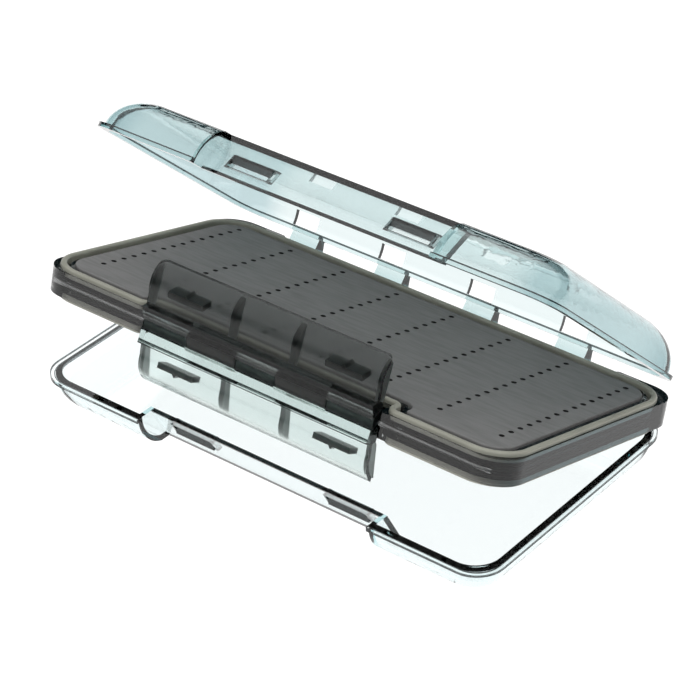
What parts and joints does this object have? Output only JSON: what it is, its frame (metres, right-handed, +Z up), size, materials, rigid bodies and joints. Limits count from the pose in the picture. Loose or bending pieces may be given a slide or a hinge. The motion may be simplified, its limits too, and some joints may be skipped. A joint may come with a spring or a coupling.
{
  "type": "double-sided lure box",
  "caption": "Slim lure box: a smoky middle leaf with slit foam and a gasket on each face, clear hinged lids above and below, and flap latches in front.",
  "frame": {"origin": "middle of the lower lid's outer face, on the ground", "axes": "+X along the hinge, -Y towards the latches, +Z up"},
  "size_m": [0.1868, 0.1092, 0.0997],
  "materials": {
    "clear_lid": "clear, faint teal tint, polished",
    "smoky_tray": "smoky grey-brown, see-through, polished",
    "smoky_latch": "smoky grey, see-through, satin",
    "gasket_rubber": "beige, matt",
    "slit_foam": "dark grey closed-cell foam, matt",
    "pin_steel": "drawn wire"
  },
  "bodies": {
    "lower_lid": {"lid_bottom": "clear_lid"},
    "leaf": {"tray_bottom": "smoky_tray", "tray_top": "smoky_tray", "gasket_bottom": "gasket_rubber", "gasket_top": "gasket_rubber", "foam_bottom": "slit_foam", "foam_top": "slit_foam", "hinge_pin": "pin_steel", "latch_pin": "pin_steel"},
    "upper_lid": {"lid_top": "clear_lid"},
    "upper_latch": {"latch_top": "smoky_latch"},
    "lower_latch": {"latch_bottom": "smoky_latch"}
  },
  "joints": [
    {"name": "leaf_hinge", "type": "hinge", "parent": "lower_lid", "child": "leaf", "pos_m": [0, 0.05135, 0.02012], "axis": [-1, 0, 0], "range_deg": [-16.49, 73.51]},
    {"name": "upper_lid_hinge", "type": "hinge", "parent": "leaf", "child": "upper_lid", "pos_m": [0, 0.05135, 0.02012], "axis": [-1, 0, 0], "range_deg": [-26.74, 63.26]},
    {"name": "upper_latch_hinge", "type": "hinge", "parent": "leaf", "child": "upper_latch", "pos_m": [0, -0.04343, 0.04818], "axis": [1, 0, 0], "range_deg": [-13, 14]},
    {"name": "lower_latch_hinge", "type": "hinge", "parent": "leaf", "child": "lower_latch", "pos_m": [0, -0.04343, 0.04818], "axis": [-1, 0, 0], "range_deg": [-13, 14]}
  ]
}
